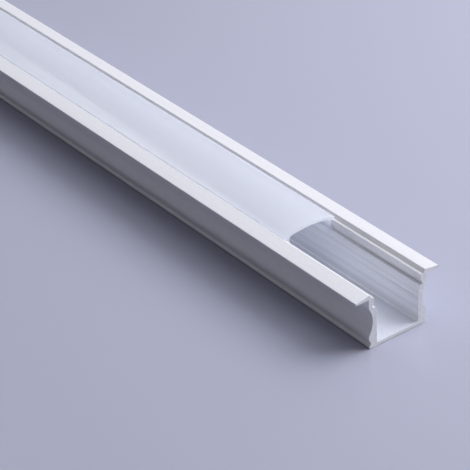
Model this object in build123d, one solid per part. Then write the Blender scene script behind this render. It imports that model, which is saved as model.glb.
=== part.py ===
from build123d import *
import os

# Recessed LED strip profile: an extruded aluminium channel and its opal snap-in cover.
# Millimetres. +Y runs along the profile, +Z up, +X across. The origin is the middle of the
# channel's underside. Both sections are symmetric about X = 0, so one half is drawn and mirrored.

# Lengths
channel_length = 300.0
cover_setback = 31.5  # how far the cover is slid back from the channel's near end

# Channel, across, from the strip bay outwards
bay_width = 12.4  # clear width for a 12 mm strip
shoulder_setback = 0.4  # bevel at the top of the bay's wall
lip_setback = 0.8  # from the bay's wall back to the lip's face
groove_depth = 0.4  # snap groove behind the lip's face
seat_width = 0.6  # ledge on the lip that carries the cover's edge
step_width = 0.65  # slope between that ledge and the flange's root
wall_width = 2.28  # from the bay's wall to the outer face of the wall's head
flange_reach = 3.77  # beyond the outer face

# Channel, upwards from the underside
base_thickness = 0.9
bay_depth = 9.9  # from the bay's floor to the floor of the snap groove
groove_height = 0.65
lip_underside_rise = 0.3  # the lip's underside slopes, so that the hook can ride out
lip_height = 1.75
step_height = 1.0
shoulder_height = 1.3

# Channel, flange
flange_root_thickness = 1.12
flange_edge_thickness = 0.5

# Channel, outside of the wall, upwards from the underside
rib_height = 0.62  # the base's own edge
rib_inset = 0.06
side_notch_height = 1.53
side_notch_depth = 0.36
bulge_height = 1.47
bulge_stand = 0.14
head_height = 2.53  # plain band under the flange
waist_depth = 1.12

# Channel, shallow lines inside the bay
line_depth = 0.15
line_width = 0.34
line_pitch = 2.56
first_line_height = 3.92  # above the bay's floor

# Channel, edge rounds
edge_round = 0.12
tip_round = 0.22
root_round = 0.2
lip_round = 0.15
floor_round = 0.2
base_round = 0.2

# Cover
fit_clearance = 0.1
edge_height = 0.6  # side of the cover, up to where the crown springs
crown_rise = 1.0
crown_thickness = 0.55
leg_standoff = 0.3  # from the lip's face to the leg
leg_thickness = 0.75
leg_round = 0.8  # where the leg meets the crown
foot_height = 1.4  # the stretch of the leg that leans out to the hook
foot_lean = 0.35
hook_ramp = 0.3  # bevel under the hook, which spreads the lips as the cover is pressed in

# Places that both sections share
bay_side = bay_width / 2
lip_face = bay_side + lip_setback
groove_back = lip_face + groove_depth
step_foot = lip_face + seat_width
flange_root = step_foot + step_width
outer_face = bay_side + wall_width
flange_edge = outer_face + flange_reach

groove_floor = base_thickness + bay_depth
groove_top = groove_floor + groove_height
lip_bottom = groove_top + lip_underside_rise
lip_top = lip_bottom + lip_height
channel_height = lip_top + step_height
flange_underside = channel_height - flange_root_thickness
head_bottom = flange_underside - head_height

cover_edge = step_foot - fit_clearance
edge_bottom = lip_top + fit_clearance
spring_height = edge_bottom + edge_height


def rounded_run(corners):
    """Straight runs through (x, z, round) corners. The first and last rounds are not used."""
    points = [(x, z) for x, z, _ in corners]
    return FilletPolyline(*points, radius=[size for _, _, size in corners[1:-1]]).edges()


def mirrored(edges):
    return [edge.mirror(Plane.YZ) for edge in edges]


def rounded_pair(section, x, z, size):
    """Rounds the section's corner at (x, z) and its mirror image."""
    right = section.vertices().sort_by_distance((x, z))[0]
    left = section.vertices().sort_by_distance((-x, z))[0]
    return fillet([right, left], size)


def extruded(section, near_end, length):
    """The section, drawn as (x, z), standing from near_end towards +Y."""
    standing = Plane(origin=(0, near_end, 0), x_dir=(1, 0, 0), z_dir=(0, -1, 0)) * section
    return extrude(standing, amount=-length)


def channel_outside():
    """Underside, edge rib, side notch, bulge, hollow waist and the plain band under the flange."""
    rib_side = outer_face - rib_inset
    notch_top = rib_height + side_notch_height
    bulge_top = notch_top + bulge_height
    corners = [(0, 0, 0), (rib_side, 0, base_round), (rib_side, rib_height, 0)]
    notch = ThreePointArc(
        (rib_side, rib_height),
        (rib_side - side_notch_depth, (rib_height + notch_top) / 2),
        (rib_side, notch_top),
    )
    bulge = ThreePointArc(
        (rib_side, notch_top),
        (rib_side + bulge_stand, (notch_top + bulge_top) / 2),
        (rib_side, bulge_top),
    )
    waist = ThreePointArc(
        (rib_side, bulge_top),
        (outer_face - waist_depth, (bulge_top + head_bottom) / 2),
        (outer_face, head_bottom),
    )
    return [*rounded_run(corners), notch, bulge, waist]


def bay_line(height):
    """Corners of one shallow line in the bay's wall, from its upper edge down."""
    return [
        (bay_side, height + line_width / 2, 0),
        (bay_side + line_depth, height, 0),
        (bay_side, height - line_width / 2, 0),
    ]


def channel_inside():
    """Flange, step, seat, lip, snap groove and the bay's wall and floor, from the outside in."""
    first_line = base_thickness + first_line_height
    corners = [
        (outer_face, head_bottom, 0),
        (outer_face, flange_underside, edge_round),
        (flange_edge, flange_underside, tip_round),
        (flange_edge, flange_underside + flange_edge_thickness, edge_round),
        (flange_root, channel_height, root_round),
        (step_foot, lip_top, 0),
        (lip_face, lip_top, lip_round),
        (lip_face, lip_bottom, edge_round),
        (groove_back, groove_top, 0),
        (groove_back, groove_floor, 0),
        (bay_side + shoulder_setback, groove_floor, edge_round),
        (bay_side, groove_floor - shoulder_height, 0),
        *bay_line(first_line + line_pitch),
        *bay_line(first_line),
        (bay_side, base_thickness, floor_round),
        (0, base_thickness, 0),
    ]
    return rounded_run(corners)


def aluminium_channel():
    right_half = [*channel_outside(), *channel_inside()]
    section = make_face([*right_half, *mirrored(right_half)])
    return extruded(section, -channel_length / 2, channel_length)


def cover_side(leg_inside, leg_top):
    """One side of the cover from the crown's spring line down, round the hook and up the leg."""
    leg_outside = lip_face - leg_standoff
    leg_bottom = groove_floor + fit_clearance
    hook_tip = groove_back - fit_clearance
    hook_slope = lip_underside_rise / groove_depth
    hook_top = groove_top + fit_clearance * (hook_slope - (1 + hook_slope**2) ** 0.5)
    hook_root = hook_top + hook_slope * (hook_tip - leg_outside)
    corners = [
        (cover_edge, spring_height, 0),
        (cover_edge, edge_bottom, edge_round),
        (leg_outside, edge_bottom, edge_round),
        (leg_outside, hook_root, edge_round),
        (hook_tip, hook_top, edge_round),
        (hook_tip, leg_bottom + hook_ramp, 0),
        (hook_tip - hook_ramp, leg_bottom, edge_round),
        (leg_inside + foot_lean, leg_bottom, edge_round),
        (leg_inside, leg_bottom + foot_height, 0),
        (leg_inside, leg_top, 0),
    ]
    return rounded_run(corners)


def diffuser_cover():
    """Arched crown whose edges lie on the seats, with hooked legs in the snap grooves."""
    crown_radius = (cover_edge**2 + crown_rise**2) / (2 * crown_rise)
    crown_top = spring_height + crown_rise
    inner_radius = crown_radius - crown_thickness
    leg_inside = lip_face - leg_standoff - leg_thickness
    leg_top = crown_top - crown_radius + (inner_radius**2 - leg_inside**2) ** 0.5
    outer_arc = ThreePointArc(
        (-cover_edge, spring_height), (0, crown_top), (cover_edge, spring_height)
    )
    inner_arc = ThreePointArc(
        (-leg_inside, leg_top), (0, crown_top - crown_thickness), (leg_inside, leg_top)
    )
    right_side = cover_side(leg_inside, leg_top)
    section = make_face([outer_arc, inner_arc, *right_side, *mirrored(right_side)])
    section = rounded_pair(section, cover_edge, spring_height, edge_round)
    section = rounded_pair(section, leg_inside, leg_top, leg_round)
    return extruded(section, cover_setback - channel_length / 2, channel_length)


os.makedirs("parts", exist_ok=True)
export_step(aluminium_channel(), "parts/aluminium_channel.step")
export_step(diffuser_cover(), "parts/diffuser_cover.step")
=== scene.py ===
import math

import bmesh
import bpy
from mathutils import Matrix, Vector

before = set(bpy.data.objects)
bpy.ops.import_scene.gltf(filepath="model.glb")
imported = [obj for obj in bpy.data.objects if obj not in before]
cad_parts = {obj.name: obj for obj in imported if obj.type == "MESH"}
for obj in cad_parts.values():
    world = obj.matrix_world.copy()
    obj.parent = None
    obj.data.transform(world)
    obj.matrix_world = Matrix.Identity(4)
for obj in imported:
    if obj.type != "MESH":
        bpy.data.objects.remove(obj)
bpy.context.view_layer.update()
scene = bpy.context.scene
scene.view_settings.view_transform = "Standard"
millimetre = 0.001
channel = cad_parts["aluminium_channel"]
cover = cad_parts["diffuser_cover"]
print("profile loaded")

camera = {
    "place": Vector((-0.2441, -0.4295, 0.2611)),
    "azimuth": math.radians(-35.583),
    "elevation": math.radians(32.119),
    "roll": math.radians(-3.002),
    "focalPixels": 1979.2,
    "framePixels": 470,
    "sensorWidth": 36.0,  # Blender takes this one in millimetres
    "nearest": 10 * millimetre,
    "farthest": 20,
}


def aimCamera(settings):
    lens = bpy.data.cameras.new("photoCamera")
    lens.sensor_width = settings["sensorWidth"]
    lens.lens = settings["sensorWidth"] * settings["focalPixels"] / settings["framePixels"]
    lens.clip_start = settings["nearest"]
    lens.clip_end = settings["farthest"]
    body = bpy.data.objects.new("photoCamera", lens)
    azimuth, elevation = settings["azimuth"], settings["elevation"]
    back = Vector((
        math.sin(azimuth) * math.cos(elevation),
        -math.cos(azimuth) * math.cos(elevation),
        math.sin(elevation),
    ))
    roll = Matrix.Rotation(settings["roll"], 3, "Z")
    turn = back.to_track_quat("Z", "Y").to_matrix() @ roll
    body.matrix_world = Matrix.Translation(settings["place"]) @ turn.to_4x4()
    scene.collection.objects.link(body)
    scene.camera = body


aimCamera(camera)
print("camera aimed")


def opaque(colour):
    return (*colour, 1)


def addNode(tree, kind, inputs=None, **settings):
    node = tree.nodes.new(kind)
    for name, value in settings.items():
        setattr(node, name, value)
    for socket, value in (inputs or {}).items():
        if isinstance(value, bpy.types.NodeSocket):
            tree.links.new(value, node.inputs[socket])
        else:
            node.inputs[socket].default_value = value
    return node


def calculate(tree, operation, *values):
    inputs = dict(enumerate(values))
    return addNode(tree, "ShaderNodeMath", inputs, operation=operation).outputs[0]


def newMaterial(name, shaderSettings):
    material = bpy.data.materials.new(name)
    material.use_nodes = True
    for socket, value in shaderSettings.items():
        shaderOf(material).inputs[socket].default_value = value
    return material


def shaderOf(material):
    return material.node_tree.nodes["Principled BSDF"]


studio = {
    "worldLight": (0.95, 0.96, 1.0),
    "worldStrength": 0.022,
    "backdrop": (0.27, 0.28, 0.34),
}


# The camera, gloss and glass see the backdrop, and all else gets the dimmer world light.
def lightWorld(settings):
    world = bpy.data.worlds.new("studioRoom")
    world.use_nodes = True
    scene.world = world
    tree = world.node_tree
    tree.nodes.clear()
    light = addNode(tree, "ShaderNodeBackground", {
        "Color": opaque(settings["worldLight"]), "Strength": settings["worldStrength"],
    })
    backdrop = addNode(tree, "ShaderNodeBackground", {
        "Color": opaque(settings["backdrop"]), "Strength": 1,
    })
    ray = addNode(tree, "ShaderNodeLightPath").outputs
    mirrored = calculate(tree, "MAXIMUM", ray["Is Glossy Ray"], ray["Is Transmission Ray"])
    seen = calculate(tree, "MAXIMUM", ray["Is Camera Ray"], mirrored)
    mix = addNode(tree, "ShaderNodeMixShader", {
        0: seen, 1: light.outputs[0], 2: backdrop.outputs[0],
    })
    addNode(tree, "ShaderNodeOutputWorld", {"Surface": mix.outputs[0]})


lightWorld(studio)

# Each lamp hangs at its distance from its aim, in the direction that it is towards.
softboxes = {
    "keySoftbox": {
        "aim": (0, -0.07, 0.01), "towards": (0.60, -0.27, 0.77), "distance": 0.60,
        "across": 0.34, "upright": 0.36, "watts": 2.00, "colour": (0.985, 0.985, 0.99),
        "mirrored": False,
    },
    "overheadSoftbox": {
        "aim": (0.03, -0.07, 0.01), "towards": (0.40, -0.25, 0.90), "distance": 0.60,
        "across": 0.35, "upright": 1.0, "watts": 3.47, "colour": (0.89, 0.905, 1.0),
        "mirrored": False,
    },
    "sideSoftbox": {
        "aim": (0, 0.02, 0.01), "towards": (0.88, 0.05, 0.47), "distance": 0.50,
        "across": 0.36, "upright": 0.30, "watts": 0.72, "colour": (0.985, 0.985, 0.99),
        "mirrored": False,
    },
    "backSoftbox": {
        "aim": (0, -0.05, 0.01), "towards": (0.20, 0.74, 0.64), "distance": 1.50,
        "across": 0.20, "upright": 0.36, "watts": 0.52, "colour": (0.97, 0.98, 1.0),
        "mirrored": True,  # the highlight along the cover's left shoulder
    },
    "frontSoftbox": {
        "aim": (0, -0.10, 0.01), "towards": (-0.42, -0.77, 0.48), "distance": 1.40,
        "across": 0.70, "upright": 0.50, "watts": 1.00, "colour": (0.98, 0.98, 1.0),
        "mirrored": False,
    },
    "endSoftbox": {
        "aim": (0, -0.15, 0.01), "towards": (0.30, -0.90, 0.30), "distance": 1.20,
        "across": 0.40, "upright": 0.30, "watts": 1.20, "colour": (0.965, 0.975, 1.0),
        "mirrored": False,
    },
    "leftSoftbox": {
        "aim": (0, -0.08, 0.01), "towards": (-0.93, -0.30, 0.20), "distance": 1.20,
        "across": 0.60, "upright": 0.20, "watts": 0.38, "colour": (1.0, 0.90, 0.76),
        "mirrored": False,
    },
}


def hangSoftbox(name, settings):
    light = bpy.data.lights.new(name, "AREA")
    light.shape = "RECTANGLE"
    light.size = settings["across"]
    light.size_y = settings["upright"]
    light.energy = settings["watts"]
    light.color = settings["colour"]
    lamp = bpy.data.objects.new(name, light)
    towards = Vector(settings["towards"]).normalized()
    lamp.location = Vector(settings["aim"]) + towards * settings["distance"]
    lamp.rotation_mode = "QUATERNION"
    lamp.rotation_quaternion = towards.to_track_quat("Z", "Y")
    lamp.visible_camera = False
    lamp.visible_glossy = settings["mirrored"]  # a mirrored lamp glares on the board
    scene.collection.objects.link(lamp)


for name, settings in softboxes.items():
    hangSoftbox(name, settings)
print("studio lit")

board = {
    "side": 4.0,
    "drop": 0.12 * millimetre,  # leaves a thin dark line under the base's end
    "colour": (0.434, 0.444, 0.547),
    "roughness": 0.16,
    "gloss": 0.9,
}


def layBoard(settings):
    mesh = bmesh.new()
    bmesh.ops.create_grid(mesh, x_segments=1, y_segments=1, size=settings["side"] / 2)
    bmesh.ops.translate(mesh, verts=mesh.verts, vec=(0, 0, -settings["drop"]))
    data = bpy.data.meshes.new("floorBoard")
    mesh.to_mesh(data)
    mesh.free()
    floor = bpy.data.objects.new("floorBoard", data)
    scene.collection.objects.link(floor)
    data.materials.append(newMaterial("paleBoard", {
        "Base Color": opaque(settings["colour"]), "Roughness": settings["roughness"],
        "Specular IOR Level": settings["gloss"],
    }))


layBoard(board)
print("floor laid")

# A noise below its trough shows the darkest tone, and above its crest the plain colour.
drawnLines = {"detail": 3, "fineShare": 0.6, "trough": 0.32, "crest": 0.58}
fineGrain = {"detail": 1, "fineShare": 0.5, "trough": 0.3, "crest": 0.7}


def noiseTone(tree, place, perMetre, noise, darkest):
    spread = addNode(tree, "ShaderNodeMapping", {"Vector": place, "Scale": perMetre})
    pattern = addNode(tree, "ShaderNodeTexNoise", {
        "Vector": spread.outputs[0], "Scale": 1, "Detail": noise["detail"],
        "Roughness": noise["fineShare"],
    })
    return addNode(tree, "ShaderNodeMapRange", {
        "Value": pattern.outputs["Fac"], "From Min": noise["trough"],
        "From Max": noise["crest"], "To Min": darkest, "To Max": 1,
    }).outputs[0]


def darkestTone(tree, mask, depthOutside, depthInside):
    return addNode(tree, "ShaderNodeMapRange", {
        "Value": mask, "To Min": 1 - depthOutside, "To Max": 1 - depthInside,
    }).outputs[0]


def blendColour(tree, mask, outside, inside):
    # inputs 6 and 7 and output 2 are the ones that a Mix node has for colours
    return addNode(tree, "ShaderNodeMix", {
        0: mask, 6: outside, 7: inside,
    }, data_type="RGBA").outputs[2]


def tintShader(material, colour, tone):
    tree = material.node_tree
    tinted = addNode(tree, "ShaderNodeVectorMath", {
        0: colour, "Scale": tone,
    }, operation="SCALE")
    tree.links.new(tinted.outputs[0], shaderOf(material).inputs["Base Color"])


alloy = {
    "colour": (0.91, 0.912, 0.935),
    "bayPaintedLightColour": (0.94, 0.95, 1.0),  # painted light: the same metal is made bluer and lighter inside the bay, for the cool light there
    "bayHalfWidth": 6.9 * millimetre,
    # painted shade: the bay's floor is darker than its walls, for the shade that falls on
    # it
    "bayFloorPaintedShadeColour": (0.77, 0.79, 0.865),
    "bayFloorTop": 1.0 * millimetre,
    "cornerHighlightColour": (1.0, 1.0, 1.0),  # painted highlight along the round between the bay's floor and wall
    "cornerStart": 5.95 * millimetre,
    "cornerTop": 1.12 * millimetre,
    "stepHighlightColour": (0.98, 0.985, 1.0),  # painted highlight: the seats and steps beside the cover's edges are lighter, for the light they catch
    "stepHighlightHalfWidth": 8.3 * millimetre,
    "stepHighlightBottom": 13.2 * millimetre,
    "sawnColour": (1.0, 1.0, 1.0),  # the two end faces
    "sawnPlace": 149.95 * millimetre,
    "metallic": 0.2,
    "roughness": 0.42,
    "streaksPerMetre": (900, 7, 900),  # long along the profile, as it leaves the die
    "streakDepth": 0.03,
    "wallStreakDepth": 0.16,
    "grainsPerMetre": (3200, 3200, 3200),
    "grainDepth": 0.08,
    "sawnGrainDepth": 0.11,
}


def anodisedAluminium(settings):
    material = newMaterial("anodisedAluminium", {
        "Metallic": settings["metallic"], "Roughness": settings["roughness"],
    })
    tree = material.node_tree
    place = addNode(tree, "ShaderNodeTexCoord").outputs["Object"]
    axes = addNode(tree, "ShaderNodeSeparateXYZ", {0: place}).outputs
    offMiddle = calculate(tree, "ABSOLUTE", axes["X"])
    offCentre = calculate(tree, "ABSOLUTE", axes["Y"])

    inBay = calculate(tree, "LESS_THAN", offMiddle, settings["bayHalfWidth"])
    underTop = calculate(tree, "LESS_THAN", axes["Z"], settings["bayFloorTop"])
    onBayFloor = calculate(tree, "MULTIPLY", underTop, inBay)
    onBayWall = calculate(tree, "SUBTRACT", inBay, onBayFloor)
    # the zone of the painted highlight along the corner round
    besideFloor = calculate(tree, "GREATER_THAN", offMiddle, settings["cornerStart"])
    lowDown = calculate(tree, "LESS_THAN", axes["Z"], settings["cornerTop"])
    lowBesideFloor = calculate(tree, "MULTIPLY", besideFloor, lowDown)
    inCorner = calculate(tree, "MULTIPLY", lowBesideFloor, inBay)
    # the zone of the painted highlight on the seats and steps
    nearLip = calculate(tree, "LESS_THAN", offMiddle, settings["stepHighlightHalfWidth"])
    aboveGroove = calculate(tree, "GREATER_THAN", axes["Z"], settings["stepHighlightBottom"])
    onStepHighlight = calculate(tree, "MULTIPLY", nearLip, aboveGroove)
    sawn = calculate(tree, "GREATER_THAN", offCentre, settings["sawnPlace"])

    # each zone's colour lies over those before it; the bay, bay floor, corner and step
    # zones are painted light and shade
    finishWithPaintedLightAndShade = opaque(settings["colour"])
    # painted light: a cooler, lighter tone inside the bay
    finishWithPaintedLightAndShade = blendColour(tree, inBay, finishWithPaintedLightAndShade, opaque(settings["bayPaintedLightColour"]))
    # painted shade: a darker bay floor
    finishWithPaintedLightAndShade = blendColour(tree, onBayFloor, finishWithPaintedLightAndShade, opaque(settings["bayFloorPaintedShadeColour"]))
    # painted highlight along the corner round
    finishWithPaintedLightAndShade = blendColour(tree, inCorner, finishWithPaintedLightAndShade, opaque(settings["cornerHighlightColour"]))
    # painted highlight on the seats and steps
    finishWithPaintedLightAndShade = blendColour(tree, onStepHighlight, finishWithPaintedLightAndShade, opaque(settings["stepHighlightColour"]))
    finishWithPaintedLightAndShade = blendColour(tree, sawn, finishWithPaintedLightAndShade, opaque(settings["sawnColour"]))

    # the streaks are deeper on the bay's walls, and the grain on the sawn faces
    wallStreak = settings["wallStreakDepth"]
    darkestStreak = darkestTone(tree, onBayWall, settings["streakDepth"], wallStreak)
    sawnGrain = settings["sawnGrainDepth"]
    darkestGrain = darkestTone(tree, sawn, settings["grainDepth"], sawnGrain)
    streaks = noiseTone(tree, place, settings["streaksPerMetre"], drawnLines, darkestStreak)
    grains = noiseTone(tree, place, settings["grainsPerMetre"], fineGrain, darkestGrain)
    tintShader(material, finishWithPaintedLightAndShade, calculate(tree, "MULTIPLY", streaks, grains))
    return material


opal = {
    "colour": (0.94, 0.955, 1.0),
    "glow": (0.96, 0.97, 1.0),  # colour of the light that comes through
    "roughness": 0.16,
    "gloss": 1.0,
    "ior": 1.7,
    "throughShare": 0.57,  # share of the light that comes through
    "streaksPerMetre": (700, 5, 700),  # faint, from the die
    "streakDepth": 0.04,
}


def opalPlastic(settings):
    material = newMaterial("opalPlastic", {
        "Roughness": settings["roughness"], "Specular IOR Level": settings["gloss"],
        "IOR": settings["ior"],
    })
    tree = material.node_tree
    place = addNode(tree, "ShaderNodeTexCoord").outputs["Object"]
    darkest = 1 - settings["streakDepth"]
    streaks = noiseTone(tree, place, settings["streaksPerMetre"], drawnLines, darkest)
    tintShader(material, settings["colour"], streaks)
    glow = addNode(tree, "ShaderNodeBsdfTranslucent", {"Color": opaque(settings["glow"])})
    blend = addNode(tree, "ShaderNodeMixShader", {
        0: settings["throughShare"], 1: shaderOf(material).outputs["BSDF"],
        2: glow.outputs["BSDF"],
    })
    tree.links.new(blend.outputs[0], tree.nodes["Material Output"].inputs["Surface"])
    return material


def dress(node, material):
    for slot in node.material_slots:
        slot.material = material


dress(channel, anodisedAluminium(alloy))
dress(cover, opalPlastic(opal))
print("pieces dressed")
